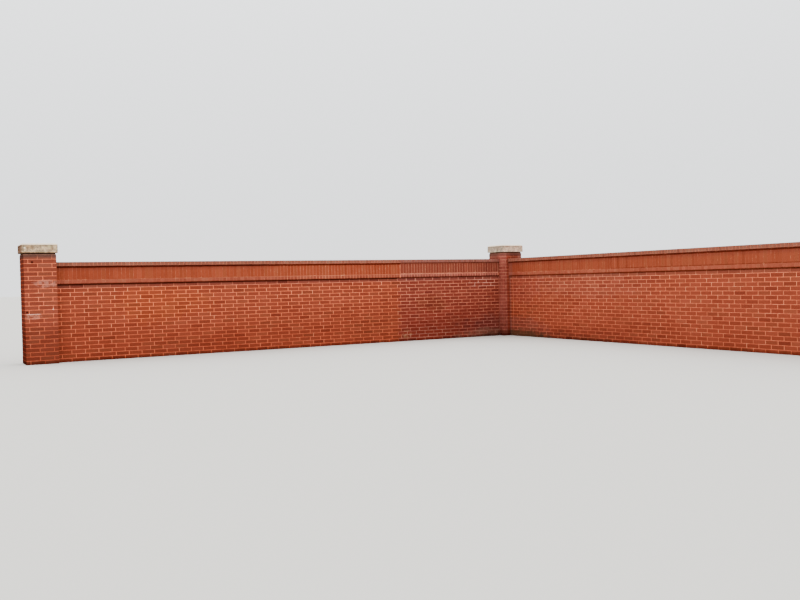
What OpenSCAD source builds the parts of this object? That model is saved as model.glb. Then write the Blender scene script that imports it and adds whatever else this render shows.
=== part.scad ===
/* [Brick] */
// Length of one brick
brick_length = 244.5; // [190:0.5:300]
// Height of one brick laid flat
brick_height = 69.9; // [57:0.1:90]
// Depth of one brick, from its face to its back
brick_depth = 76.2; // [57:0.1:110]
// Thickness of the mortar joints
mortar_joint = 9.5; // [6:0.5:14]

/* [Wall] */
// Length of each run, from one pier to the next
run_length = 10495; // [6000:5:14000]
// Length of the rebuilt stretch beside the corner pier
rebuilt_length = 2875; // [1000:5:5000]
// Thickness of the wall below the band
wall_thickness = 228.6; // [190:0.1:330]
// Courses of bricks below the band
field_courses = 19; // [10:1:21]
// How far alternate courses of the rebuilt stretch are toothed into the older work
tooth_depth = 80; // [60:1:180]
// Thickness of the mortar bed under the coping
coping_bed = 19; // [8:0.5:30]
// How far the band stands out from each face of the wall
band_step = 22; // [5:1:40]
// How far the coping stands out from the band
coping_step = 21; // [5:1:40]
// How far the coping of the rebuilt stretch stands out from the band
rebuilt_coping_step = 11; // [2:1:40]

/* [Movement joint] */
// Width of the open joint between the corner pier and the right run
joint_width = 20; // [8:1:40]
// How far the filler of that joint lies back from the faces of the wall
filler_recess = 15; // [4:1:40]

/* [Piers] */
// How far the brickwork of each pier rises above the coping
pier_rise = 150; // [80:5:400]
// Thickness of the mortar bed under each cap
bed_thickness = 22; // [10:1:40]
// How far that bed lies back from the faces of the pier
bed_recess = 12; // [4:1:40]

/* [Caps] */
// Full thickness of each cap stone, up to its crown
cap_thickness = 188; // [90:1:260]
// How far each cap stands out past the pier
cap_overhang = 27; // [10:1:80]
// Height of the sloping top of each cap, above its bevelled edge
cap_wash = 10; // [4:1:25]
// Height of the bevel around the top edge of each cap
cap_bevel = 20; // [6:1:30]
// Width of that bevel, in from the sides of the cap
cap_bevel_width = 34; // [10:1:60]

/* [Hidden] */

field_red = [0.66, 0.27, 0.19];
rebuilt_red = [0.55, 0.24, 0.19];
band_red = [0.74, 0.33, 0.20];
coping_red = [0.78, 0.40, 0.30];
pier_red = [0.70, 0.31, 0.24];
cap_stone = [0.80, 0.75, 0.66];
dark_mortar = [0.26, 0.19, 0.16];

// Heights, from the ground up
course = brick_height + mortar_joint;
field_top = field_courses * course;
end_course_top = field_top + brick_depth + mortar_joint;
soldier_top = end_course_top + brick_length + coping_bed;
coping_top = soldier_top + brick_depth;
pier_top = coping_top + pier_rise;

// Widths across the wall
band_width = wall_thickness + 2 * band_step;

// A pier face is two bricks and a brick end, with their joints
pier_side = 2 * (brick_length + mortar_joint) + brick_depth;
bed_side = pier_side - 2 * bed_recess;
cap_side = pier_side + 2 * cap_overhang;
pier_spacing = run_length + pier_side;

// Both runs are drawn from the face of the corner pier along +X
module on_left_run() {
    translate([-pier_side / 2, 0, 0]) mirror([1, 0, 0]) children();
}

module on_right_run() {
    translate([0, -pier_side / 2, 0]) rotate([0, 0, -90]) children();
}

module course_block(from, to, width, bottom, top) {
    translate([from, -width / 2, bottom]) cube([to - from, width, top - bottom]);
}

// The toothed seam between the first stretch and the rebuilt one
function seam_at(n) = rebuilt_length + (1 - n % 2) * tooth_depth;

function seam_line() = [
    for (n = [0 : field_courses - 1])
        each [[seam_at(n), n * course], [seam_at(n), (n + 1) * course]]
];

module panel(outline) {
    rotate([90, 0, 0]) linear_extrude(height = wall_thickness, center = true) polygon(outline);
}

module end_course(from, to) {
    color(band_red) course_block(from, to, band_width, field_top, end_course_top);
}

module soldiers(from, to) {
    color(band_red) course_block(from, to, band_width, end_course_top, soldier_top);
}

module coping(from, to, step) {
    color(coping_red) course_block(from, to, band_width + 2 * step, soldier_top, coping_top);
}

module pier() {
    color(pier_red) translate([0, 0, pier_top / 2]) cube([pier_side, pier_side, pier_top], center = true);
}

module pier_bed() {
    color(dark_mortar)
        translate([-bed_side / 2, -bed_side / 2, pier_top])
            cube([bed_side, bed_side, bed_thickness]);
}

// A square cap with straight sides, a bevelled edge and a low sloping top
module pier_cap() {
    straight = cap_thickness - cap_wash - cap_bevel;
    bevelled = cap_side - 2 * cap_bevel_width;
    color(cap_stone) translate([0, 0, pier_top + bed_thickness]) hull() {
        translate([-cap_side / 2, -cap_side / 2, 0]) cube([cap_side, cap_side, straight]);
        translate([-bevelled / 2, -bevelled / 2, 0]) cube([bevelled, bevelled, straight + cap_bevel]);
        cylinder(h = cap_thickness, d = bed_side / 4, $fn = 4);
    }
}

module at_left_end() {
    translate([-pier_spacing, 0, 0]) children();
}

module at_right_end() {
    translate([0, -pier_spacing, 0]) children();
}

// The left run, from the end pier to the toothed seam
module left_field() {
    color(field_red) on_left_run()
        panel(concat(seam_line(), [[run_length, field_top], [run_length, 0]]));
}
module left_end_course() { on_left_run() end_course(rebuilt_length, run_length); }
module left_soldiers() { on_left_run() soldiers(rebuilt_length, run_length); }
module left_coping() { on_left_run() coping(rebuilt_length, run_length, coping_step); }

// The rebuilt stretch, from that seam to the corner pier
module rebuilt_field() {
    color(rebuilt_red) on_left_run()
        panel(concat([[0, 0]], seam_line(), [[0, field_top]]));
}
module rebuilt_end_course() { on_left_run() end_course(0, rebuilt_length); }
module rebuilt_soldiers() { on_left_run() soldiers(0, rebuilt_length); }
module rebuilt_coping() { on_left_run() coping(0, rebuilt_length, rebuilt_coping_step); }

// The right run, from the open joint to its end pier
module right_field() {
    color(field_red) on_right_run()
        course_block(joint_width, run_length, wall_thickness, 0, field_top);
}
module right_end_course() { on_right_run() end_course(joint_width, run_length); }
module right_soldiers() { on_right_run() soldiers(joint_width, run_length); }
module right_coping() { on_right_run() coping(joint_width, run_length, coping_step); }

// The dark filler stands back in the joint and stops short of the top of the coping
module corner_joint() {
    filler_width = wall_thickness - 2 * filler_recess;
    color(dark_mortar) on_right_run()
        course_block(0, joint_width, filler_width, 0, coping_top - filler_recess);
}

module left_pier() { at_left_end() pier(); }
module left_pier_bed() { at_left_end() pier_bed(); }
module left_pier_cap() { at_left_end() pier_cap(); }
module corner_pier() { pier(); }
module corner_pier_bed() { pier_bed(); }
module corner_pier_cap() { pier_cap(); }
module right_pier() { at_right_end() pier(); }
module right_pier_bed() { at_right_end() pier_bed(); }
module right_pier_cap() { at_right_end() pier_cap(); }

left_field();
left_end_course();
left_soldiers();
left_coping();
rebuilt_field();
rebuilt_end_course();
rebuilt_soldiers();
rebuilt_coping();
right_field();
right_end_course();
right_soldiers();
right_coping();
corner_joint();
left_pier();
left_pier_bed();
left_pier_cap();
corner_pier();
corner_pier_bed();
corner_pier_cap();
right_pier();
right_pier_bed();
right_pier_cap();
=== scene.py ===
"""A brick garden wall: two long runs that meet at a corner pier, laid brick by brick."""

import math
import random

import bmesh
import bpy
from mathutils import Euler, Matrix, Vector, noise


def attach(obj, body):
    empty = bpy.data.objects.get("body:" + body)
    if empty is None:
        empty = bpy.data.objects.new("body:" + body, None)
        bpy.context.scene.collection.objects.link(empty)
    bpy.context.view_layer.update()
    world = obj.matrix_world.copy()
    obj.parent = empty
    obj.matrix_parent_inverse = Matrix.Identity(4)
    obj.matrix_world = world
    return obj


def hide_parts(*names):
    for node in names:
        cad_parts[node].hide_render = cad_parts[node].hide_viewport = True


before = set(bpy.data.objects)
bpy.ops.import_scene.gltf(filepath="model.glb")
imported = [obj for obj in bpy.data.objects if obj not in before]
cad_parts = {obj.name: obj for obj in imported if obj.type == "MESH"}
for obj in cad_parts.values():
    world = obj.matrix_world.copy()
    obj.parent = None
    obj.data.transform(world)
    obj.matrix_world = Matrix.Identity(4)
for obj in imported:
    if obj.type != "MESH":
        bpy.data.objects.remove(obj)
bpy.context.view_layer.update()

# Sizes, in metres

BRICK_LENGTH = 0.2445
BRICK_HEIGHT = 0.0699
BRICK_DEPTH = 0.0762
JOINT = 0.0095
NARROW_JOINT = 0.0066

# Heights, from the ground up
COURSE = BRICK_HEIGHT + JOINT
FIELD_COURSES = 19
FIELD_TOP = FIELD_COURSES * COURSE
END_COURSE_TOP = FIELD_TOP + BRICK_DEPTH + JOINT
COPING_BED = 0.019
SOLDIER_TOP = END_COURSE_TOP + BRICK_LENGTH + COPING_BED
COPING_TOP = SOLDIER_TOP + BRICK_DEPTH
PIER_RISE = 0.150
PIER_TOP = COPING_TOP + PIER_RISE
BED_THICKNESS = 0.022
BED_TOP = PIER_TOP + BED_THICKNESS
CAP_THICKNESS = 0.188
CAP_TOP = BED_TOP + CAP_THICKNESS

# Faces, from the middle of the wall outwards
WALL_THICKNESS = 0.2286
BAND_STEP = 0.022
COPING_STEP = 0.021
REBUILT_COPING_STEP = 0.011
FIELD_FACE = WALL_THICKNESS / 2
BAND_FACE = FIELD_FACE + BAND_STEP
COPING_FACE = BAND_FACE + COPING_STEP
REBUILT_COPING_FACE = BAND_FACE + REBUILT_COPING_STEP

# Lengths along the runs, from the face of the corner pier
RUN_LENGTH = 10.495
REBUILT_LENGTH = 2.875
TOOTH = 0.080
OPEN_JOINT = 0.020

# Faces of a pier, its bed and its cap, from its middle: a pier is two bricks and a brick end wide
PIER_FACE = BRICK_LENGTH + JOINT + BRICK_DEPTH / 2
PIER_SPACING = RUN_LENGTH + 2 * PIER_FACE
PIER_COURSES = 26
PIER_COURSE = 0.0797
BED_RECESS = 0.012
BED_FACE = PIER_FACE - BED_RECESS
CAP_OVERHANG = 0.027
CAP_FACE = PIER_FACE + CAP_OVERHANG
CAP_WASH = 0.010
CAP_BEVEL = 0.020
CAP_BEVEL_WIDTH = 0.034

# From the start of one brick to the start of the next, laid flat, on end and on edge
LEFT_PITCH = 0.2512
REBUILT_PITCH = 0.2465
RIGHT_PITCH = 0.2552
SOLDIER_PITCH = BRICK_HEIGHT + NARROW_JOINT
COPING_PITCH = 0.0772

# The cut bricks that start the even and the odd courses of each field
LEFT_CUTS = ((), ())
REBUILT_CUTS = ((), (0.124,))
RIGHT_CUTS = ((0.140, 0.141), (0.1295,))

# The rebuilt stretch starts with a joint beside the corner pier, and its band with a wide one
REBUILT_START = 0.009
REBUILT_CLOSER = 0.045
# The older band starts with a wide joint beside the rebuilt one
LEFT_CLOSER = 0.018

# How far the joint under the soldiers reaches below and above the top of the end course
BED_JOINT = (JOINT, 0)
REBUILT_BED_JOINT = (0.007, 0.014)

# How far the mortar stands back from the bricks, in the older work and in the rebuilt
RAKED = 0.004
FLUSH = 0.0015

# The filler of the open joint: how far it lies back, and how round its upright edges are
FILLER_RECESS = 0.015
FILLER_ROUNDING = 0.008

# How much a side of a brick lies back from its place at most, how far a brick leans in
# radians, how worn its edges are, and how far the rebuilt ones wander
SHORT = 0.0008
LEAN = 0.002
ARRIS = 0.0025
REBUILT_UNEVEN = 0.002

# The share of bricks with a knocked corner, and the size of the knock
KNOCKED = 0.06
KNOCK = (0.004, 0.012)

# How far the tones of single bricks spread, where 0 is the darkest and 1 the lightest
TONE_SPREAD = 0.10

# The longest whole brick and the shortest cut one at the end of a course, in pitches
LONGEST = 1.01
SHORTEST = 0.3

# Both runs are laid along +X from the face of the corner pier, and these turn them into place
LEFT_RUN = Matrix.Translation((-PIER_FACE, 0, 0)) @ Matrix.Rotation(math.pi, 4, "Z")
RIGHT_RUN = Matrix.Translation((0, -PIER_FACE, 0)) @ Matrix.Rotation(-math.pi / 2, 4, "Z")

# The order of the two finishes of a piece of brickwork
BRICK_COAT, MORTAR_COAT = 0, 1


# Brickwork

class Brickwork:
    """The bricks and mortar of one piece, in the place that `run` gives them.

    `uneven` is how far the ends and the beds of its bricks wander.
    """

    def __init__(self, name, run=Matrix(), seed=1, uneven=0.0):
        self.name = name
        self.run = run
        self.uneven = uneven
        self.dice = random.Random(seed)
        self.bm = bmesh.new()
        # What the brick finish reads: a brick's tones, its middle and half its size
        self.firing = self.bm.faces.layers.float_vector.new("firing")
        self.middle = self.bm.faces.layers.float_vector.new("middle")
        self.half = self.bm.faces.layers.float_vector.new("half")

    def block(self, low, high, turn=Matrix(), coat=BRICK_COAT):
        """A closed block between two opposite corners."""
        low, high = Vector(low), Vector(high)
        size = Matrix.Diagonal((*(high - low), 1))
        place = self.run @ Matrix.Translation((low + high) / 2) @ turn @ size
        made = bmesh.ops.create_cube(self.bm, size=1, matrix=place)["verts"]
        faces = {face for vert in made for face in vert.link_faces}
        for face in faces:
            face.material_index = coat
        return made, faces

    def brick(self, low, high):
        """One brick, a hair out of true, and now and then with a knocked corner."""
        dice = self.dice
        spread = [(-loose, SHORT + loose) for loose in (self.uneven, 0, self.uneven)]
        low = Vector(low) + Vector([dice.uniform(*ends) for ends in spread])
        high = Vector(high) - Vector([dice.uniform(*ends) for ends in spread])
        lean = LEAN
        # A brick of the first course stands level on the ground
        if low.z < SHORT + self.uneven:
            low.z = 0
            lean = 0
        turn = Euler([dice.uniform(-lean, lean) for _ in range(3)]).to_matrix().to_4x4()
        verts, faces = self.block(low, high, turn)
        knock = 0
        if dice.random() < KNOCKED:
            corner = dice.choice(verts)
            if corner.co.z > COURSE:
                knock = dice.uniform(*KNOCK)
        tone = min(max(dice.gauss(0.5, TONE_SPREAD), 0), 1)
        firing = Vector((tone, dice.random(), dice.random()))
        middle = self.run @ ((low + high) / 2)
        half = Vector([abs(side) for side in self.run.to_3x3() @ ((high - low) / 2)])
        for face in faces:
            face[self.firing] = firing
            face[self.middle] = middle
            face[self.half] = half
        if knock:
            self.bevel([corner], knock, affect="VERTICES")

    def row(self, start, end, bottom, top, out, depth, pitch, joint=JOINT, cuts=(), slack=0.5):
        """Bricks from start to end whose faces stand at `out` from the middle of the wall.

        `cuts` are the lengths of the cut bricks that come first. If the rest comes within
        `slack` of a whole number of bricks it is shared evenly, else the last brick is cut.
        """
        inner, outer = sorted((out, out - math.copysign(depth, out)))
        ends = [start]
        for cut in cuts:
            ends.append(ends[-1] + cut + joint)
        rest = (end - ends[-1]) / pitch
        if abs(rest - round(rest)) < slack:
            pitch = (end - ends[-1]) / round(rest)
        while ends[-1] + LONGEST * pitch < end:
            ends.append(ends[-1] + pitch)
        if end - ends[-1] < SHORTEST * pitch:
            ends[-1] = (ends[-2] + end) / 2
        ends.append(end)
        for first, last in zip(ends, ends[1:]):
            self.brick((first + joint / 2, inner, bottom), (last - joint / 2, outer, top))

    def bevel(self, geom=None, width=ARRIS, segments=1, affect="EDGES"):
        """Bevels the edges or corners given, or else every edge."""
        bmesh.ops.bevel(self.bm, geom=geom or list(self.bm.edges), offset=width,
                        segments=segments, profile=0.5, affect=affect, material=-1)

    def mortar(self, start, end, bottom, top, out):
        """A block of mortar right through the wall, with its faces at `out` from the middle."""
        self.block((start, -out, bottom), (end, out, top), coat=MORTAR_COAT)

    def toothed_mortar(self, outline, out):
        """Mortar with a stepped end: `outline` gives its corners as (along, height)."""
        corners = [self.bm.verts.new(self.run @ Vector((along, -out, height)))
                   for along, height in outline]
        face = self.bm.faces.new(corners)
        grown = bmesh.ops.extrude_face_region(self.bm, geom=[face])["geom"]
        moved = [item for item in grown if isinstance(item, bmesh.types.BMVert)]
        across = self.run.to_3x3() @ Vector((0, 2 * out, 0))
        bmesh.ops.translate(self.bm, verts=moved, vec=across)
        faces = {face for vert in corners + moved for face in vert.link_faces}
        bmesh.ops.recalc_face_normals(self.bm, faces=list(faces))
        for face in faces:
            face.material_index = MORTAR_COAT

    def finish(self, node, slot, *coats):
        """Makes the piece, which stands for one node."""
        mesh = bpy.data.meshes.new(self.name)
        self.bm.to_mesh(mesh)
        self.bm.free()
        for coat in coats:
            mesh.materials.append(coat)
        piece = bpy.data.objects.new(self.name, mesh)
        bpy.context.scene.collection.objects.link(piece)
        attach(piece, "root")
        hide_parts(node)


# Shader nodes

class Socket:
    """A value in a finish's nodes, so that shader maths reads as plain sums."""

    def __init__(self, nodes, plug):
        self.nodes = nodes
        self.plug = plug

    def maths(self, operation, first, second):
        return self.nodes.add("ShaderNodeMath", {"operation": operation}, {0: first, 1: second})

    def __add__(self, other):
        return self.maths("ADD", self, other)

    def __sub__(self, other):
        return self.maths("SUBTRACT", self, other)

    def __rsub__(self, other):
        return self.maths("SUBTRACT", other, self)

    def __mul__(self, other):
        return self.maths("MULTIPLY", self, other)

    def __neg__(self):
        return self * -1

    __radd__ = __add__

    def least(self, other):
        return self.maths("MINIMUM", self, other)

    def most(self, other):
        return self.maths("MAXIMUM", self, other)

    def past(self, step):
        """How far the value lies past the last whole number of steps."""
        return self.maths("MODULO", self, step)

    def fade(self, start, end):
        """0 at start, 1 at end, smooth between them."""
        return self.nodes.add("ShaderNodeMapRange", {"interpolation_type": "SMOOTHSTEP"},
                              {"Value": self, "From Min": start, "From Max": end})

    def between(self, start, end, soft):
        """1 between start and end, fading out past them."""
        return self.fade(start - soft, start) * (1 - self.fade(end, end + soft))


class Nodes:
    """The nodes of one finish or of the sky."""

    def __init__(self, tree):
        self.tree = tree

    def add(self, kind, settings=None, values=None, out=0):
        """Adds any node: its settings first, then its sockets' values or links.

        The setting `stops` gives the places and colours of a colour ramp.
        """
        made = self.tree.nodes.new(kind)
        for name, value in (settings or {}).items():
            if name == "stops":
                while len(made.color_ramp.elements) < len(value):
                    made.color_ramp.elements.new(1)
                for element, (place, colour) in zip(made.color_ramp.elements, value):
                    element.position = place
                    element.color = (*colour, 1)
            else:
                setattr(made, name, value)
        for name, value in (values or {}).items():
            if isinstance(value, Socket):
                self.tree.links.new(value.plug, made.inputs[name])
            else:
                made.inputs[name].default_value = value
        return Socket(self, made.outputs[out])

    def parts(self, vector):
        """The X, Y and Z of a vector."""
        split = self.add("ShaderNodeSeparateXYZ", {}, {0: vector})
        return [Socket(self, plug) for plug in split.plug.node.outputs]

    def vector(self, operation, first, second=(0, 0, 0)):
        return self.add("ShaderNodeVectorMath", {"operation": operation}, {0: first, 1: second})


class Finish(Nodes):
    """One procedural finish, built up from a base colour, coat over coat."""

    def __init__(self, name, roughness):
        self.material = bpy.data.materials.new(name)
        self.material.use_nodes = True
        super().__init__(self.material.node_tree)
        self.shader = self.tree.nodes["Principled BSDF"]
        self.shader.inputs["Roughness"].default_value = roughness
        self.shader.inputs["Specular IOR Level"].default_value = 0.0
        self.place = self.add("ShaderNodeTexCoord", out="Object")
        self.x, self.y, self.z = self.parts(self.place)
        self.colour = None

    def noise(self, scale, detail, roughness=0.55, place=None):
        return self.add("ShaderNodeTexNoise", {},
                        {"Vector": place or self.place, "Scale": scale, "Detail": detail,
                         "Roughness": roughness})

    def attribute(self, name):
        return self.add("ShaderNodeAttribute", {"attribute_name": name}, out="Vector")

    def start(self, amount, first, second):
        """The base colour: from the first to the second as `amount` goes from 0 to 1."""
        self.colour = self.add("ShaderNodeMix", {"data_type": "RGBA"},
                               {0: amount, 6: (*first, 1), 7: (*second, 1)}, out=2)

    def lay(self, amount, colour, blend="MIX"):
        """Lays a colour over what is there, as much as `amount` says."""
        self.colour = self.add("ShaderNodeMix", {"data_type": "RGBA", "blend_type": blend},
                               {0: amount, 6: self.colour, 7: (*colour, 1)}, out=2)

    def tint(self, amount, colour):
        """Multiplies what is there by a colour: below 1 darkens it, above 1 pales it."""
        self.lay(amount, colour, "MULTIPLY")

    def edge_distance(self):
        """How far a point on a brick's face is from the nearest edge of that face.

        The least of its three distances from the brick's sides is that of the face it is on,
        and the next is the one from the edge.
        """
        from_middle = self.vector("SUBTRACT", self.place, self.attribute("middle"))
        away = self.vector("ABSOLUTE", from_middle)
        x, y, z = self.parts(self.vector("SUBTRACT", self.attribute("half"), away))
        return x.least(y).most(x.most(y).least(z))

    def bump(self, height, distance):
        bumped = self.add("ShaderNodeBump", {}, {"Height": height, "Distance": distance,
                                                 "Strength": 0.7})
        self.tree.links.new(bumped.plug, self.shader.inputs["Normal"])

    def done(self):
        self.tree.links.new(self.colour.plug, self.shader.inputs["Base Color"])
        return self.material


# Kinds of mark: each is laid on a finish, and `ragged` is the noise that roughens its edge

def blot(along, middle, height, wide, tall, colour, amount, blend="MULTIPLY", torn=0.7,
         broken=0.0):
    """A round mark; `torn` makes its edge ragged and `broken` breaks it up into spots."""
    def mark(finish, ragged):
        across = (along(finish) - middle) * (1 / wide)
        up = (finish.z - height) * (1 / tall)
        shape = 1 - (across * across + up * up + (ragged - 0.5) * 4 * torn).fade(0.2, 1.3)
        if broken:
            spots = finish.noise(17, 4, 0.65)
            shape = shape * spots.fade(0.30 + 0.2 * broken, 0.55 + 0.1 * broken)
        finish.lay(shape * amount, colour, blend)
    return mark


def stripe(along, start, end, bottom, top, soft, colour, amount):
    """A mark with straight sides between two distances and two heights."""
    def mark(finish, ragged):
        height = finish.z + (ragged - 0.5) * 0.3
        shape = along(finish).between(start, end, soft) * height.between(bottom, top, 0.08)
        finish.tint(shape * amount, colour)
    return mark


def level(bottom, top, soft, colour):
    """A nearly straight mark between two heights, such as along a bed joint."""
    def mark(finish, ragged):
        height = finish.z + (ragged - 0.5) * soft
        finish.tint(height.between(bottom, top, soft), colour)
    return mark


def height_fade_mark(start, end, colour, amount=1.0, blend="MULTIPLY"):
    """A mark that deepens from one height to another, the shorter the straighter."""
    rough = min(0.12, 0.4 * abs(end - start))

    def mark(finish, ragged):
        height = finish.z + (ragged - 0.5) * rough
        finish.lay(height.fade(start, end) * amount, colour, blend)
    return mark


def left_along(finish):
    """How far along the left run a point lies, from the inside corner of the wall."""
    return -finish.x - FIELD_FACE


def right_along(finish):
    """How far along the right run a point lies, from the inside corner of the wall."""
    return -finish.y - FIELD_FACE


def into_corner(finish):
    """How far a point of the corner pier lies towards -X and -Y, added up."""
    return -finish.x - finish.y


def along_x(finish):
    return finish.x


# Brick, mortar and stone

MORTAR_SMEAR = (0.46, 0.118, 0.060)


def weather_and_shade(finish, marks):
    """Damp at the foot, then the marks of one stretch: stains, mud, bloom, and painted shade under
    ledges, in corners and on a side.
    """
    ragged = finish.noise(5, 5, 0.6)
    foot = 1 - (finish.z + (ragged - 0.5) * 0.10).fade(0.015, 0.085)
    finish.tint(foot * 0.8, (0.42, 0.34, 0.30))
    for mark in marks:
        mark(finish, ragged)


def brick_finish(name, dark, middle, light, marks, smeared=0.25, drift=0.35, rough=0.014):
    """Brick of three shades. Each brick's own tone picks one, and noises break it up.

    `smeared` is how thickly mortar lies on the edges of the bricks, `rough` how raggedly it
    ends, and `drift` how much the tone wanders along the wall.
    """
    finish = Finish(name, 0.85)
    tone, pallor, veining = finish.parts(finish.attribute("firing"))
    cloud = finish.noise(1.1, 4)
    mottle = finish.noise(34, 5, 0.6)
    grain = finish.noise(240, 3)
    shade = tone + (cloud - 0.5) * drift + (mottle - 0.5) * 0.6
    finish.colour = finish.add("ShaderNodeValToRGB",
                               {"stops": ((0, dark), (0.5, middle), (1, light))}, {0: shade})
    finish.tint(pallor.fade(0.55, 1) * 0.6, (1.0, 1.25, 1.2))
    veins = veining.fade(0.85, 1) * mottle.fade(0.45, 0.6) * 0.45
    finish.tint(veins, (0.55, 0.45, 0.5))
    pores = finish.noise(420, 2).fade(0.60, 0.70) * 0.5
    finish.tint(pores, (0.45, 0.38, 0.4))
    flecks = finish.noise(300, 2).fade(0.66, 0.74) * 0.35
    finish.lay(flecks, MORTAR_SMEAR)
    edge = finish.edge_distance() + (finish.noise(40, 5, 0.6) - 0.5) * rough
    finish.lay((1 - edge.fade(-0.001, 0.007)) * smeared, MORTAR_SMEAR)
    weather_and_shade(finish, marks)
    finish.bump(mottle * 0.6 + grain * 0.5 + edge.fade(-0.004, 0.006) * 0.8, 0.0012)
    return finish.done()


def mortar_finish(name, pale, deep, marks, dull=(0.78, 0.76, 0.76)):
    """Sandy mortar with duller and paler patches."""
    finish = Finish(name, 0.95)
    sand = finish.noise(330, 3)
    crumbs = finish.noise(80, 4)
    cloud = finish.noise(1.6, 5)
    finish.start(cloud.fade(0.35, 0.68), pale, deep)
    patches = finish.noise(8, 4, 0.7)
    finish.tint(1 - patches.fade(0.36, 0.50), dull)
    finish.lay(patches.fade(0.54, 0.64) * 0.25, (0.98, 0.40, 0.20))
    finish.tint(sand.fade(0.4, 0.75) * 0.35, (0.62, 0.58, 0.56))
    weather_and_shade(finish, marks)
    finish.bump(sand * 0.5 + crumbs, 0.0015)
    return finish.done()


def stone_finish(name, pale, deep, marks=()):
    """Cast stone with pits, streaks that run down it, and patches of two other tints."""
    finish = Finish(name, 0.9)
    cloud = finish.noise(13, 6, 0.7)
    pits = finish.noise(90, 4, 0.6)
    finish.start(cloud.fade(0.36, 0.62), pale, deep)
    stretched = finish.add("ShaderNodeMapping", {}, {0: finish.place, "Scale": (14, 14, 1.2)})
    streaks = finish.noise(1, 4, place=stretched)
    finish.tint(streaks.fade(0.5, 0.7) * 0.3, (0.66, 0.62, 0.56))
    finish.tint(pits.fade(0.55, 0.68) * 0.7, (0.50, 0.45, 0.38))
    patches = finish.noise(6, 4, 0.65)
    finish.tint(patches.fade(0.50, 0.62) * 0.8, (0.80, 0.72, 0.68))
    finish.tint(1 - patches.fade(0.36, 0.46), (0.80, 0.86, 0.80))
    for mark in marks:
        mark(finish, cloud)
    finish.bump(pits, 0.002)
    return finish.done()


# Marks that follow the courses: shade under the band and the coping, pale or dull joints

TOP_COURSE = FIELD_TOP - COURSE

# Painted shade under the band: a cooler tint over the first course below it, then a dark line
# right under it
UNDER_BAND = (height_fade_mark(FIELD_TOP - 0.109, FIELD_TOP - 0.064, (0.84, 1.03, 1.31)),
              height_fade_mark(FIELD_TOP - 0.043, FIELD_TOP - 0.015, (0.19, 0.080, 0.045)))
UNDER_RIGHT_BAND = (height_fade_mark(FIELD_TOP - 0.099, FIELD_TOP - 0.059, (0.95, 1.18, 1.32)),
                    height_fade_mark(FIELD_TOP - 0.035, FIELD_TOP - 0.011, (0.36, 0.20, 0.14)))
UNDER_REBUILT_BAND = (height_fade_mark(FIELD_TOP - 0.099, FIELD_TOP - 0.059, (1.08, 1.42, 1.65)),
                      height_fade_mark(FIELD_TOP - 0.029, FIELD_TOP - 0.007, (0.24, 0.11, 0.07)))
# Painted shade under the coping: the soldiers darken towards it, with a dark line right under it
UNDER_COPING = (height_fade_mark(SOLDIER_TOP - 0.073, SOLDIER_TOP - 0.036, (0.84, 0.82, 0.85)),
                level(SOLDIER_TOP - 0.032, SOLDIER_TOP - 0.010, 0.014, (0.30, 0.14, 0.105)))
UNDER_RIGHT_COPING = (height_fade_mark(SOLDIER_TOP - 0.128, SOLDIER_TOP - 0.048, (0.80, 0.83, 0.95)),
                      level(SOLDIER_TOP - 0.030, SOLDIER_TOP - 0.008, 0.014, (0.42, 0.24, 0.18)))
UNDER_REBUILT_COPING = (height_fade_mark(SOLDIER_TOP - 0.078, SOLDIER_TOP - 0.018, (0.85, 0.84, 0.84)),
                        height_fade_mark(SOLDIER_TOP - 0.030, SOLDIER_TOP - 0.013, (0.34, 0.22, 0.19)))
BAND_LIP = (height_fade_mark(FIELD_TOP + 0.023, FIELD_TOP - 0.003, (0.24, 0.12, 0.09)),)
RIGHT_BAND_LIP = (height_fade_mark(FIELD_TOP + 0.021, FIELD_TOP - 0.003, (0.38, 0.24, 0.19)),)
REBUILT_BAND_LIP = (height_fade_mark(FIELD_TOP + 0.035, FIELD_TOP + 0.001, (0.26, 0.15, 0.12)),)
COPING_LIP = (height_fade_mark(SOLDIER_TOP + 0.028, SOLDIER_TOP + 0.010, (1.14, 1.18, 1.20)),)
# Painted shade along the lower edge of the rebuilt coping, running into the shade under it
REBUILT_COPING_LIP = (height_fade_mark(SOLDIER_TOP + 0.027, SOLDIER_TOP - 0.006, (0.70, 0.62, 0.60)),)

# The lower part of the wall, which is darker from the first height down to the second
LOW_BRICK = (height_fade_mark(1.25, 0.25, (0.84, 0.78, 0.76)),)
LOW_MORTAR = (height_fade_mark(1.25, 0.25, (0.68, 0.61, 0.64)),)
LOW_RIGHT_BRICK = (height_fade_mark(1.25, 0.25, (0.91, 0.89, 0.88)),)
LOW_RIGHT_MORTAR = (height_fade_mark(1.25, 0.25, (0.80, 0.74, 0.76)),)
LOW_REBUILT_BRICK = (height_fade_mark(1.25, 0.25, (0.83, 0.67, 0.67)),)
LOW_REBUILT_MORTAR = (height_fade_mark(1.30, 0.30, (0.60, 0.60, 0.67)),)

# The upright joints in the first course under the band hardly show: painted shade dulls them
TOP_JOINTS = (height_fade_mark(TOP_COURSE + 0.002, TOP_COURSE + 0.010, (0.60, 0.66, 0.72)),)


def upright_joints(finish, ragged):
    """Paler mortar between the ends of the bricks, below the first course under the band."""
    upright = 1 - finish.z.past(COURSE).fade(BRICK_HEIGHT - 0.002, BRICK_HEIGHT)
    below = 1 - finish.z.fade(TOP_COURSE - 0.004, TOP_COURSE + 0.003)
    finish.tint(upright * below, (1.19, 1.42, 1.38))


def right_top_joints(finish, ragged):
    """Joints dulled with painted shade in the first course under the band, on the far part of the
    right run.
    """
    far = right_along(finish).fade(3.8, 4.8)
    finish.tint(far * finish.z.fade(TOP_COURSE + 0.002, TOP_COURSE + 0.010), (0.66, 0.70, 0.74))


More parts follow.
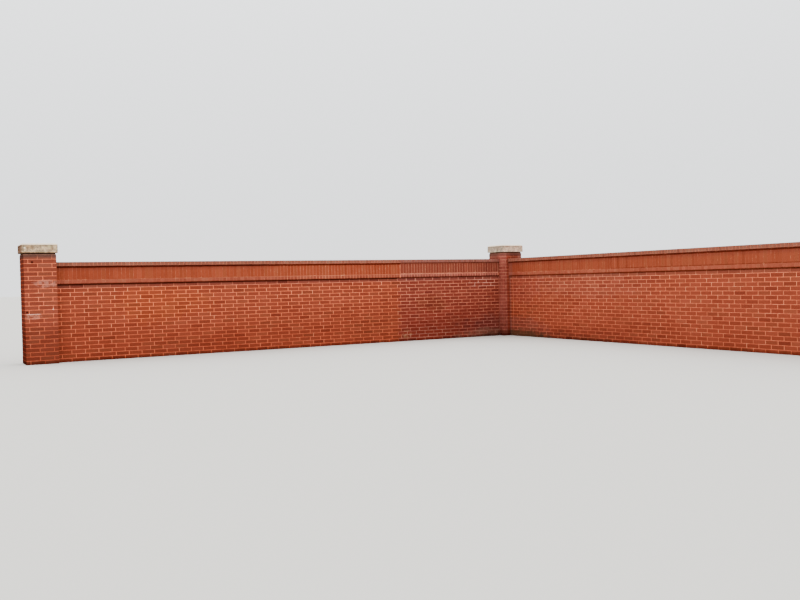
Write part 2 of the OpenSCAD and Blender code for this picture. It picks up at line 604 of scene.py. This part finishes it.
def right_bed_line(finish, ragged):
    """A dark line along the joint over the end course, on the far part of the right run."""
    far = right_along(finish).fade(3.4, 4.2)
    line = finish.z.between(END_COURSE_TOP - 0.006, END_COURSE_TOP + 0.008, 0.004)
    finish.tint(far * line, (0.62, 0.52, 0.50))


# Marks in single places: how far along, how high, how wide and tall, what tint, how strong

def nearer_half(finish):
    """1 on the nearer half of the left run, 0 on its far end."""
    return 1 - left_along(finish).fade(5.4, 7.0)


def nearer_band(finish, ragged):
    """Slightly darker bricks on the nearer half."""
    finish.tint(nearer_half(finish), (0.975, 0.965, 0.960))


def nearer_band_joints(finish, ragged):
    """Paler joints on the nearer half, most of all in the end course, and duller ones beyond."""
    near = nearer_half(finish)
    end_course = 1 - finish.z.fade(END_COURSE_TOP - 0.016, END_COURSE_TOP - 0.008)
    finish.tint(near, (1.25, 1.36, 1.38))
    finish.tint(near * end_course, (1.56, 1.50, 1.24))
    finish.tint(1 - near, (0.80, 0.78, 0.78))


def nearer_coping(finish, ragged):
    """A slightly paler coping next to the rebuilt stretch."""
    finish.tint(left_along(finish).between(3.0, 5.4, 0.9), (1.10, 1.10, 1.13))


def far_shade(finish, ragged):
    """The upper part of the band is darker on the far end of the left run."""
    upper = finish.z.fade(SOLDIER_TOP - 0.128, SOLDIER_TOP - 0.058)
    finish.tint(left_along(finish).fade(5.8, 6.8) * upper, (0.82, 0.87, 1.00))


LEFT_BAND_MARKS = (
    far_shade,
    blot(left_along, 10.7, 1.72, 1.3, 0.6, (0.86, 0.84, 0.86), 0.8),
)
LEFT_BAND_JOINT_MARKS = (
    nearer_band_joints,
    stripe(left_along, 3.0, 3.08, 1.59, 1.84, 0.002, (0.88, 0.85, 0.84), 1.0),
)
LEFT_MARKS = (
    blot(left_along, 8.7, 1.08, 1.1, 0.40, (1.11, 1.08, 0.88), 0.8),
    blot(left_along, 8.4, 0.2, 0.9, 0.22, (0.88, 0.91, 0.93), 0.8),
    blot(left_along, 7.5, 0.2, 0.7, 0.22, (0.80, 0.70, 0.70), 0.4),
    blot(left_along, 5.6, 0.9, 0.7, 0.25, (0.92, 0.90, 0.92), 0.4),
    blot(left_along, 3.3, 0.42, 1.2, 0.35, (0.92, 0.99, 1.00), 0.8),
)
REBUILT_MARKS = (
    blot(left_along, 0.3, 0.24, 1.15, 0.36, (0.76, 0.97, 1.16), 0.75),
    blot(left_along, 2.2, 0.85, 0.45, 0.25, (0.78, 0.84, 0.72), 0.6),
    blot(left_along, 1.9, 0.3, 1.1, 0.30, (0.83, 0.84, 0.84), 0.6),
    blot(left_along, 2.90, 0.17, 0.14, 0.10, (0.34, 0.18, 0.085), 0.3, "MIX", torn=0.6,
         broken=0.6),
    blot(left_along, 0.5, 0.07, 0.95, 0.16, (0.13, 0.064, 0.041), 0.55, "MIX", broken=0.2),
    blot(left_along, 0.3, 0.0, 0.7, 0.11, (0.36, 0.30, 0.27), 0.9),
)
REBUILT_JOINT_MARKS = (
    blot(left_along, 0.70, 1.34, 0.55, 0.12, (0.82, 0.46, 0.36), 0.42, "MIX", torn=0.5,
         broken=0.5),
    blot(left_along, 2.2, 0.14, 0.9, 0.18, (0.98, 1.35, 1.45), 0.9),
    stripe(left_along, 2.95, 3.16, 0.45, 1.35, 0.03, (1.25, 1.30, 1.20), 0.7),
)
# Painted shade in the inside corner against the corner pier: a stripe from below the ground to
# above the wall runs its whole height
REBUILT_END = (stripe(left_along, 0.16, 0.196, -1, 3, 0.010, (0.62, 0.52, 0.48), 0.8),)
REBUILT_BAND_MARKS = (
    blot(left_along, 0.35, 1.72, 0.45, 0.25, (0.80, 0.82, 0.86), 0.85),
    # Painted shade in the inside corner against the corner pier
    stripe(left_along, 0.16, 0.212, 1.4, 2, 0.008, (0.42, 0.32, 0.27), 0.9),
)
RIGHT_MARKS = (
    blot(right_along, 0.6, 0.20, 1.2, 0.28, (0.76, 0.90, 1.14), 0.8),
    blot(right_along, 0.65, 0.00, 1.15, 0.175, (0.056, 0.025, 0.012), 0.84, "MIX"),
    blot(right_along, 3.0, 0.12, 2.2, 0.16, (0.82, 0.80, 0.86), 0.7),
    blot(right_along, 4.5, 0.05, 2.7, 0.50, (0.87, 0.85, 0.85), 0.8),
    blot(right_along, 3.0, 1.28, 2.0, 0.34, (1.01, 1.15, 1.28), 0.8),
    blot(right_along, 0.75, 1.20, 0.75, 0.42, (0.94, 0.97, 1.12), 0.9),
    blot(right_along, 2.3, 0.03, 1.5, 0.12, (0.77, 0.84, 0.88), 0.9),
    stripe(right_along, 0.18, 0.255, -1, 3, 0.012, (0.98, 1.25, 1.50), 0.9),
)
RIGHT_BAND_MARKS = (
    stripe(right_along, 0.10, 0.345, -1, 3, 0.012, (0.92, 1.10, 1.42), 0.9),
    blot(right_along, 0.50, 1.70, 0.30, 0.5, (0.86, 0.82, 0.86), 0.8),
    stripe(right_along, 3.925, 3.955, 1.50, 1.85, 0.01, (1.35, 1.6, 1.7), 0.4),
    stripe(right_along, 4.015, 4.045, 1.60, 1.80, 0.01, (0.55, 0.45, 0.42), 0.6),
    right_bed_line,
)
LEFT_PIER_MARKS = (
    level(0.80, 1.40, 0.15, (1.08, 1.05, 1.04)),
    height_fade_mark(0.95, 0.45, (0.87, 0.83, 0.82)),
    blot(left_along, 10.88, 1.52, 0.25, 0.08, (0.46, 0.180, 0.128), 0.55, "MIX", broken=0.3),
    blot(left_along, 11.11, 0.905, 0.15, 0.06, (0.52, 0.200, 0.135), 0.5, "MIX", broken=0.3),
    blot(left_along, 11.105, 1.93, 0.028, 0.024, (0.10, 0.05, 0.05), 0.9, torn=0.3),
    blot(left_along, 11.212, 0.99, 0.030, 0.022, (0.12, 0.06, 0.06), 0.9, torn=0.3),
    # Painted shade under the cap, with dirt: the top courses turn cooler, then darker, with dark
    # lines just under the cap
    height_fade_mark(PIER_TOP - 0.129, PIER_TOP - 0.074, (0.80, 1.05, 1.20)),
    height_fade_mark(PIER_TOP - 0.099, PIER_TOP - 0.034, (0.125, 0.057, 0.040), 0.38, "MIX"),
    level(PIER_TOP - 0.046, PIER_TOP + 0.016, 0.012, (0.66, 0.78, 0.86)),
    level(PIER_TOP - 0.024, PIER_TOP + 0.016, 0.004, (0.66, 0.86, 0.98)),
    # Painted shade on the pier's side towards -X
    stripe(left_along, 11.252, 11.5, -1, 3, 0.006, (0.44, 0.38, 0.39), 1.0),
)
LEFT_PIER_JOINT_MARKS = (
    blot(left_along, 11.11, 0.955, 0.14, 0.02, (0.90, 0.50, 0.38), 0.7, "MIX", torn=0.3),
    blot(left_along, 10.757, 1.03, 0.02, 0.04, (0.92, 0.46, 0.32), 0.8, "MIX", torn=0.3),
)


def back_of_corner_pier(finish, ragged):
    """Painted shade: above the coping the corner pier is duller away from its arris in the inside
    corner.
    """
    from_arris = 2 * PIER_FACE - into_corner(finish)
    above = finish.z.fade(COPING_TOP - 0.054, COPING_TOP + 0.016)
    finish.tint(from_arris.fade(0.10, 0.30) * above, (0.66, 0.74, 0.74))


def beside_right_run(finish, ragged):
    """Painted shade darkens the face of the corner pier where the right run meets it."""
    on_face = 1 - finish.y.fade(-0.28, -0.26)
    finish.tint(finish.x.between(-0.160, 0.160, 0.03) * on_face, (0.84, 0.58, 0.46))


CORNER_PIER_MARKS = (
    beside_right_run,
    # Painted shade under the cap, with dirt
    height_fade_mark(PIER_TOP - 0.099, PIER_TOP - 0.034, (0.100, 0.043, 0.033), 0.66, "MIX"),
    height_fade_mark(1.3, 0.1, (0.73, 0.68, 0.70)),
    back_of_corner_pier,
    blot(into_corner, 0.45, 0.0, 0.5, 0.19, (0.40, 0.36, 0.34), 0.9),
)


def cap_marks(x, side_shade, under=()):
    """Painted shade on the side towards -X, and a pale top edge with two lines below it."""
    def side(finish, ragged):
        finish.tint(1 - (finish.x - (x - CAP_FACE)).fade(0.003, 0.016), side_shade)

    return (
        side,
        level(CAP_TOP - 0.062, CAP_TOP - 0.044, 0.010, (0.76, 0.74, 0.72)),
        height_fade_mark(CAP_TOP - 0.044, CAP_TOP - 0.028, (0.80, 0.67, 0.52), 0.7, "MIX"),
        level(BED_TOP + 0.012, BED_TOP + 0.028, 0.008, (1.16, 1.16, 1.16)),
    ) + under


LEFT_CAP_SHADE_AND_SPOTS = (
    # Painted shade along the bottom of the cap, then spots on its face
    level(BED_TOP - 0.01, BED_TOP + 0.011, 0.004, (0.42, 0.36, 0.31)),
    blot(along_x, -11.27, BED_TOP + 0.109, 0.060, 0.030, (0.80, 0.72, 0.62), 0.8, torn=0.4),
    blot(along_x, -11.20, BED_TOP + 0.079, 0.014, 0.040, (0.66, 0.60, 0.54), 0.8, torn=0.4),
    blot(along_x, -10.90, BED_TOP + 0.119, 0.060, 0.030, (0.84, 0.92, 0.84), 0.8, torn=0.4),
    blot(along_x, -11.341, BED_TOP + 0.094, 0.020, 0.017, (0.90, 0.76, 0.56), 0.9, "MIX",
         torn=0.3),
)

# The finish of each piece: bricks take a dark, a middle and a light shade, the rest take two

FIELD_SHADES = ((0.106, 0.0172, 0.0095), (0.195, 0.0366, 0.0182), (0.255, 0.0525, 0.0272))
RIGHT_SHADES = ((0.118, 0.0195, 0.0107), (0.204, 0.0374, 0.0185), (0.258, 0.0540, 0.0284))
REBUILT_SHADES = ((0.092, 0.0156, 0.0118), (0.148, 0.0264, 0.0163), (0.205, 0.0410, 0.0245))
PIER_SHADES = ((0.115, 0.0205, 0.0120), (0.170, 0.0362, 0.0200), (0.228, 0.0560, 0.0345))
MORTAR_SHADES = ((0.83, 0.162, 0.068), (0.69, 0.133, 0.056))

left_field_coats = (
    brick_finish("left field brick", *FIELD_SHADES, UNDER_BAND + LOW_BRICK + LEFT_MARKS),
    mortar_finish("left mortar", *MORTAR_SHADES,
                  UNDER_BAND + LOW_MORTAR + LEFT_MARKS + TOP_JOINTS + (upright_joints,)),
)
right_field_coats = (
    brick_finish("right field brick", *RIGHT_SHADES,
                 UNDER_RIGHT_BAND + LOW_RIGHT_BRICK + RIGHT_MARKS),
    mortar_finish("right mortar", (0.70, 0.152, 0.070), (0.57, 0.123, 0.056),
                  UNDER_RIGHT_BAND + LOW_RIGHT_MORTAR + RIGHT_MARKS
                  + (upright_joints, right_top_joints)),
)
rebuilt_field_coats = (
    brick_finish("rebuilt field brick", *REBUILT_SHADES,
                 UNDER_REBUILT_BAND + LOW_REBUILT_BRICK + REBUILT_MARKS + REBUILT_END,
                 smeared=0.45, drift=0.5, rough=0.034),
    mortar_finish("rebuilt mortar", (0.51, 0.138, 0.080), (0.41, 0.107, 0.061),
                  UNDER_REBUILT_BAND + LOW_REBUILT_MORTAR + REBUILT_MARKS
                  + REBUILT_JOINT_MARKS + REBUILT_END, dull=(0.62, 0.58, 0.58)),
)

left_band_mortar = mortar_finish(
    "band mortar", (0.43, 0.100, 0.048), (0.36, 0.079, 0.038),
    UNDER_COPING + BAND_LIP + LEFT_BAND_MARKS + LEFT_BAND_JOINT_MARKS)
left_end_coats = (
    brick_finish("end course brick",
                 (0.17, 0.034, 0.019), (0.240, 0.054, 0.031), (0.31, 0.077, 0.045),
                 BAND_LIP + (nearer_band,)),
    left_band_mortar,
)
left_soldier_coats = (
    brick_finish("band brick",
                 (0.176, 0.0315, 0.0130), (0.240, 0.0435, 0.0190), (0.297, 0.0585, 0.0270),
                 UNDER_COPING + LEFT_BAND_MARKS + (nearer_band,), smeared=0.12),
    left_band_mortar,
)

right_band_mortar = mortar_finish(
    "right band mortar", (0.32, 0.071, 0.034), (0.265, 0.057, 0.028),
    UNDER_RIGHT_COPING + RIGHT_BAND_LIP + RIGHT_BAND_MARKS)
right_end_coats = (
    brick_finish("right end course brick",
                 (0.17, 0.033, 0.018), (0.244, 0.054, 0.029), (0.345, 0.084, 0.048),
                 RIGHT_BAND_LIP + RIGHT_BAND_MARKS),
    right_band_mortar,
)
right_soldier_coats = (
    brick_finish("right band brick",
                 (0.170, 0.0325, 0.0142), (0.218, 0.0420, 0.0190), (0.258, 0.0550, 0.0262),
                 UNDER_RIGHT_COPING + RIGHT_BAND_MARKS, smeared=0.12),
    right_band_mortar,
)

rebuilt_end_coats = (
    brick_finish("rebuilt end course brick",
                 (0.136, 0.034, 0.024), (0.21, 0.054, 0.038), (0.283, 0.083, 0.058),
                 REBUILT_BAND_LIP + REBUILT_BAND_MARKS),
    mortar_finish("rebuilt end course mortar", (0.66, 0.180, 0.104), (0.55, 0.142, 0.080),
                  REBUILT_BAND_LIP + REBUILT_BAND_MARKS),
)
rebuilt_soldier_coats = (
    brick_finish("rebuilt band brick",
                 (0.117, 0.0235, 0.0145), (0.164, 0.0335, 0.0190), (0.222, 0.0465, 0.0265),
                 UNDER_REBUILT_COPING + REBUILT_BAND_MARKS, smeared=0.2),
    mortar_finish("rebuilt band mortar", (0.39, 0.120, 0.073), (0.32, 0.094, 0.056),
                  UNDER_REBUILT_COPING + REBUILT_BAND_LIP + REBUILT_BAND_MARKS),
)

coping_coats = (
    brick_finish("coping brick",
                 (0.131, 0.040, 0.0248), (0.184, 0.0585, 0.0370), (0.238, 0.084, 0.0550),
                 COPING_LIP + (nearer_coping,)),
    mortar_finish("coping mortar", (0.48, 0.130, 0.068), (0.40, 0.103, 0.054),
                  (nearer_coping,)),
)
rebuilt_coping_coats = (
    brick_finish("rebuilt coping brick",
                 (0.130, 0.037, 0.026), (0.182, 0.060, 0.046), (0.260, 0.098, 0.078),
                 REBUILT_COPING_LIP),
    mortar_finish("rebuilt coping mortar", (0.30, 0.092, 0.058), (0.24, 0.070, 0.044),
                  REBUILT_COPING_LIP),
)

left_pier_coats = (
    brick_finish("left pier brick", *PIER_SHADES, LOW_BRICK + LEFT_PIER_MARKS),
    mortar_finish("left pier mortar", (0.76, 0.162, 0.070), (0.63, 0.132, 0.058),
                  LOW_MORTAR + LEFT_PIER_MARKS + LEFT_PIER_JOINT_MARKS),
)
corner_pier_coats = (
    brick_finish("corner pier brick",
                 (0.136, 0.0225, 0.0152), (0.222, 0.0510, 0.0358), (0.298, 0.0795, 0.0570),
                 CORNER_PIER_MARKS),
    mortar_finish("corner pier mortar", (0.47, 0.150, 0.098), (0.38, 0.117, 0.075),
                  CORNER_PIER_MARKS),
)
right_pier_coats = (
    brick_finish("right pier brick", *PIER_SHADES, LOW_BRICK),
    mortar_finish("right pier mortar", *MORTAR_SHADES, LOW_MORTAR),
)

# Each cap's side towards -X takes painted shade, the left cap's deepest
left_cap_coat = stone_finish(
    "left cap stone", (0.62, 0.450, 0.270), (0.24, 0.168, 0.106),
    cap_marks(-PIER_SPACING, (0.34, 0.27, 0.28), LEFT_CAP_SHADE_AND_SPOTS))
corner_cap_coat = stone_finish(
    "corner cap stone", (0.60, 0.420, 0.298), (0.34, 0.226, 0.160),
    cap_marks(0, (0.76, 0.84, 0.88)))
right_cap_coat = stone_finish(
    "right cap stone", (0.50, 0.360, 0.230), (0.31, 0.215, 0.138),
    cap_marks(0, (0.84, 0.84, 0.84)))
# The bed under each cap is painted almost black, as painted shade under the cap's overhang
shaded_bed_coat = stone_finish("bed mortar in painted shade", (0.035, 0.011, 0.006), (0.020, 0.007, 0.004))
filler_coat = stone_finish("joint filler", (0.080, 0.022, 0.012), (0.057, 0.017, 0.010))


# The three stretches of wall

def seam_at(course):
    """Where the rebuilt stretch ends in each course: it is toothed into the older work."""
    return REBUILT_LENGTH + (TOOTH if course % 2 == 0 else 0)


def seam_corners():
    """The corners of that toothed end as (along, height), from the ground up."""
    corners = []
    for course in range(FIELD_COURSES):
        last = course == FIELD_COURSES - 1
        corners += [(seam_at(course), course * COURSE),
                    (seam_at(course), FIELD_TOP + JOINT if last else (course + 1) * COURSE)]
    return corners


def lay_field(work, start, end, pitch, cuts):
    """Both faces of a stretch: `cuts` start its even and its odd courses."""
    for out in (FIELD_FACE, -FIELD_FACE):
        for course in range(FIELD_COURSES):
            bottom = course * COURSE
            work.row(start(course), end(course), bottom, bottom + BRICK_HEIGHT, out, BRICK_DEPTH,
                     pitch, cuts=cuts[course % 2], slack=0.15)
    work.bevel()


def lay_end_course(work, start, end, raked, open_end, bed):
    """Bricks on edge whose ends show, from each face to near the middle of the wall."""
    for out in (BAND_FACE, -BAND_FACE):
        work.row(start, end, FIELD_TOP, END_COURSE_TOP - bed[0], out, BAND_FACE - JOINT,
                 SOLDIER_PITCH, NARROW_JOINT)
    work.bevel()
    work.mortar(start + open_end, end, FIELD_TOP + raked, END_COURSE_TOP, BAND_FACE - raked)


def lay_soldiers(work, start, end, raked, open_end, bed):
    """Bricks that stand on end, along both faces."""
    for out in (BAND_FACE, -BAND_FACE):
        work.row(start, end, END_COURSE_TOP + bed[1], SOLDIER_TOP - COPING_BED, out, BRICK_DEPTH,
                 SOLDIER_PITCH, NARROW_JOINT)
    work.bevel()
    work.mortar(start + open_end, end, END_COURSE_TOP, SOLDIER_TOP + JOINT, BAND_FACE - raked)


def lay_coping(work, start, end, raked, open_end, face):
    """Bricks on edge across the wall, each with a closer, which changes sides every time."""
    count = round((end - start) / COPING_PITCH)
    step = (end - start) / count
    cut = face - BRICK_LENGTH
    for number in range(count):
        first = start + number * step + NARROW_JOINT / 2
        last = first + step - NARROW_JOINT
        side = 1 if number % 2 else -1
        for ends in ((-face, -cut), (JOINT - cut, face)):
            low, high = sorted(side * across for across in ends)
            work.brick((first, low, SOLDIER_TOP), (last, high, COPING_TOP))
    work.bevel()
    work.mortar(start + open_end, end, SOLDIER_TOP + raked, COPING_TOP - raked, face - raked)


def lay_band(stretch, run, start, end, seed, slot, coats, face=COPING_FACE, raked=RAKED,
             open_end=0.0, bed=BED_JOINT, closer=0.0):
    """The end course, the soldiers and the coping of one stretch.

    `slot` begins the slot names handed on with each layer, which nothing uses. `open_end` is how
    far its mortar lies back at an open joint. `closer` is the length at the start of the end
    course and the soldiers that mortar fills.
    """
    layers = (
        ("end_course", lay_end_course, bed, closer, slot + "band_brick"),
        ("soldiers", lay_soldiers, bed, closer, slot + "band_brick"),
        ("coping", lay_coping, face, 0, slot + "coping_brick"),
    )
    for number, ((layer, lay, fit, gap, layer_slot), layer_coats) in enumerate(zip(layers, coats)):
        work = Brickwork(f"{stretch}_{layer}_bricks", run, seed + number)
        lay(work, start + gap, end, raked, open_end - gap, fit)
        work.finish(f"{stretch}_{layer}", layer_slot, *layer_coats)


def build_left_stretch():
    work = Brickwork("left_field_bricks", LEFT_RUN, seed=11)
    lay_field(work, seam_at, lambda course: RUN_LENGTH - JOINT / 2, LEFT_PITCH, LEFT_CUTS)
    end = RUN_LENGTH + RAKED
    top = FIELD_TOP + JOINT
    work.toothed_mortar(seam_corners() + [(end, top), (end, 0)], FIELD_FACE - RAKED)
    work.finish("left_field", "field_brick", *left_field_coats)
    lay_band("left", LEFT_RUN, REBUILT_LENGTH, RUN_LENGTH, seed=12, slot="",
             coats=(left_end_coats, left_soldier_coats, coping_coats), closer=LEFT_CLOSER)


def build_rebuilt_stretch():
    work = Brickwork("rebuilt_field_bricks", LEFT_RUN, seed=21, uneven=REBUILT_UNEVEN)
    lay_field(work, lambda course: REBUILT_START, seam_at, REBUILT_PITCH, REBUILT_CUTS)
    outline = [(-RAKED, 0)] + seam_corners() + [(-RAKED, FIELD_TOP + JOINT)]
    work.toothed_mortar(outline, FIELD_FACE - FLUSH)
    work.finish("rebuilt_field", "rebuilt_brick", *rebuilt_field_coats)
    lay_band("rebuilt", LEFT_RUN, JOINT / 2, REBUILT_LENGTH, seed=22, slot="rebuilt_",
             coats=(rebuilt_end_coats, rebuilt_soldier_coats, rebuilt_coping_coats),
             face=REBUILT_COPING_FACE, raked=FLUSH, bed=REBUILT_BED_JOINT, closer=REBUILT_CLOSER)


def build_right_stretch():
    work = Brickwork("right_field_bricks", RIGHT_RUN, seed=31)
    lay_field(work, lambda course: OPEN_JOINT - JOINT / 2, lambda course: RUN_LENGTH - JOINT / 2,
              RIGHT_PITCH, RIGHT_CUTS)
    work.mortar(OPEN_JOINT + RAKED, RUN_LENGTH + RAKED, 0, FIELD_TOP + JOINT, FIELD_FACE - RAKED)
    work.finish("right_field", "field_brick", *right_field_coats)
    lay_band("right", RIGHT_RUN, OPEN_JOINT - NARROW_JOINT / 2, RUN_LENGTH, seed=32, slot="",
             coats=(right_end_coats, right_soldier_coats, coping_coats), open_end=RAKED)


def build_open_joint():
    """The dark filler between the corner pier and the right run."""
    work = Brickwork("corner_joint_filler", RIGHT_RUN)
    out = FIELD_FACE - FILLER_RECESS
    work.block((-RAKED, -out, 0), (OPEN_JOINT + RAKED, out, COPING_TOP - FILLER_RECESS))
    upright = [edge for edge in work.bm.edges
               if abs(edge.verts[0].co.z - edge.verts[1].co.z) > BRICK_LENGTH]
    work.bevel(upright, FILLER_ROUNDING, segments=3)
    work.finish("corner_joint", "joint_filler", filler_coat)


# Piers, beds and caps

# Name, place, which way its first course turns, and its finishes
PIERS = (
    ("left", -PIER_SPACING, 0, 0, left_pier_coats, left_cap_coat),
    ("corner", 0, 0, 1, corner_pier_coats, corner_cap_coat),
    ("right", 0, -PIER_SPACING, 1, right_pier_coats, right_cap_coat),
)

# The seeds of the first pier and of the first cap
PIER_SEED = 41
CAP_SEED = 51

BED_ARRIS = 0.003
CAP_ARRIS = 0.004

# How fine the mesh of a cap is, and how far its faces are rubbed and its top edges chipped
CAP_MESH = 0.03
RUBBED = 0.0008
CHIPPED = 0.012


def build_pier(name, x, y, seed, first_turn, coats):
    """Eight bricks to a course, laid like a pinwheel that turns the other way in the next."""
    work = Brickwork(name + "_bricks", seed=seed)
    middle = Matrix.Translation((x, y, 0))
    for course in range(PIER_COURSES):
        bottom = course * PIER_COURSE
        for side in range(4):
            work.run = middle @ Matrix.Rotation(side * math.pi / 2, 4, "Z")
            for number in range(2):
                start = -PIER_FACE + number * (BRICK_LENGTH + JOINT)
                ends = (start, start + BRICK_LENGTH)
                if (course + first_turn) % 2 == 0:
                    ends = (-ends[1], -ends[0])
                work.brick((ends[0], -PIER_FACE, bottom),
                           (ends[1], BRICK_DEPTH - PIER_FACE, bottom + BRICK_HEIGHT))
    work.bevel()
    work.run = middle
    inner = PIER_FACE - RAKED
    work.mortar(-inner, inner, 0, PIER_TOP, inner)
    work.finish(name, "pier_brick", *coats)


def build_bed(name, x, y):
    """The recessed mortar under a cap."""
    work = Brickwork(name + "_mortar", Matrix.Translation((x, y, 0)))
    work.block((-BED_FACE, -BED_FACE, PIER_TOP), (BED_FACE, BED_FACE, BED_TOP))
    work.bevel(width=BED_ARRIS)
    work.finish(name, "bed_mortar", shaded_bed_coat)


def wear(work, middle, high, seed):
    """Rubs a stone down a little everywhere, and chips its edges above the height `high`.

    The wear has a grain of about 30 mm, and `seed` makes it another for each stone.
    """
    for vert in work.bm.verts:
        at = vert.co * 9 + Vector((seed, seed, 0))
        rub = RUBBED * (1 + noise.noise(at * 3))
        chip = CHIPPED * max(0, noise.noise(at * 4) - 0.25)
        inward = Vector((middle.x - vert.co.x, middle.y - vert.co.y, 0))
        near_edge = max(abs(inward.x), abs(inward.y)) > 0.9 * CAP_FACE
        if near_edge and vert.co.z > high:
            rub += chip
            vert.co.z -= chip * 0.7
        vert.co += inward.normalized() * rub


def build_cap(name, x, y, seed, coat):
    """A square stone with a bevelled top edge and a low crown."""
    work = Brickwork(name + "_stone")
    shoulder = CAP_TOP - CAP_WASH
    work.block((x - CAP_FACE, y - CAP_FACE, BED_TOP), (x + CAP_FACE, y + CAP_FACE, shoulder))
    top = max(work.bm.faces, key=lambda face: face.calc_center_median().z)
    inset = bmesh.ops.inset_region(work.bm, faces=[top], thickness=CAP_BEVEL_WIDTH)
    for face in inset["faces"]:
        for vert in face.verts:
            if vert not in top.verts:
                vert.co.z = shoulder - CAP_BEVEL
    crown = bmesh.ops.poke(work.bm, faces=[top])["verts"][0]
    crown.co.z = CAP_TOP
    work.bevel([edge for edge in work.bm.edges if crown not in edge.verts], CAP_ARRIS, segments=2)
    bmesh.ops.triangulate(work.bm, faces=list(work.bm.faces))
    for _ in range(3):
        long = [edge for edge in work.bm.edges if edge.calc_length() > CAP_MESH]
        bmesh.ops.subdivide_edges(work.bm, edges=long, cuts=1, use_grid_fill=True)
        wide = [face for face in work.bm.faces if len(face.verts) > 3]
        bmesh.ops.triangulate(work.bm, faces=wide)
    wear(work, Vector((x, y, 0)), shoulder - 2 * CAP_BEVEL, seed)
    work.finish(name, "cap_stone", coat)


# Floor, light and camera

FLOOR_REACH = 200
FLOOR_COLOUR = (0.5, 0.48, 0.44, 1)
SKY_COLOUR = (0.96, 0.98, 1.0, 1)
HORIZON_STRENGTH = 2.0
OVERHEAD_STRENGTH = 2.2

# Where the camera stands and how it looks, in degrees, fitted to the lines of the wall
CAMERA_PLACE = (-13.219, -17.671, 1.403)
CAMERA_TURN = 29.746
CAMERA_PITCH = -1.193
CAMERA_ROLL = -1.279

# The camera's lens and sensor, in millimetres, and how far it sees
LENS = 38.55
SENSOR_WIDTH = 36
FARTHEST = 500


def make_floor():
    bm = bmesh.new()
    bmesh.ops.create_grid(bm, x_segments=1, y_segments=1, size=FLOOR_REACH)
    mesh = bpy.data.meshes.new("floor")
    bm.to_mesh(mesh)
    bm.free()
    floor = bpy.data.objects.new("floor", mesh)
    bpy.context.scene.collection.objects.link(floor)
    coat = bpy.data.materials.new("pale floor")
    coat.use_nodes = True
    shader = coat.node_tree.nodes["Principled BSDF"]
    shader.inputs["Base Color"].default_value = FLOOR_COLOUR
    shader.inputs["Roughness"].default_value = 1
    mesh.materials.append(coat)


def make_light():
    """A soft pale sky, brighter overhead."""
    world = bpy.data.worlds.new("studio")
    world.use_nodes = True
    sky = Nodes(world.node_tree)
    height = sky.parts(sky.add("ShaderNodeTexCoord", out="Generated"))[2]
    background = world.node_tree.nodes["Background"]
    background.inputs["Color"].default_value = SKY_COLOUR
    strength = HORIZON_STRENGTH + height.fade(0.0, 1.0) * OVERHEAD_STRENGTH
    world.node_tree.links.new(strength.plug, background.inputs["Strength"])
    bpy.context.scene.world = world


def make_camera():
    turn, pitch = math.radians(CAMERA_TURN), math.radians(CAMERA_PITCH)
    roll = math.radians(CAMERA_ROLL)
    ahead = Vector((math.sin(turn) * math.cos(pitch), math.cos(turn) * math.cos(pitch),
                    math.sin(pitch)))
    sideways = Vector((math.cos(turn), -math.sin(turn), 0))
    upright = sideways.cross(ahead)
    right = sideways * math.cos(roll) + upright * math.sin(roll)
    up = upright * math.cos(roll) - sideways * math.sin(roll)
    data = bpy.data.cameras.new("camera")
    data.sensor_width = SENSOR_WIDTH
    data.lens = LENS
    data.clip_end = FARTHEST
    camera = bpy.data.objects.new("camera", data)
    place = Matrix((right, up, -ahead)).transposed().to_4x4()
    place.translation = CAMERA_PLACE
    camera.matrix_world = place
    bpy.context.scene.collection.objects.link(camera)
    bpy.context.scene.camera = camera


build_left_stretch()
build_rebuilt_stretch()
build_right_stretch()
build_open_joint()
for number, (where, x, y, first_turn, brick_coats, stone_coat) in enumerate(PIERS):
    build_pier(where + "_pier", x, y, PIER_SEED + number, first_turn, brick_coats)
    build_bed(where + "_pier_bed", x, y)
    build_cap(where + "_pier_cap", x, y, CAP_SEED + number, stone_coat)
make_floor()
make_light()
make_camera()
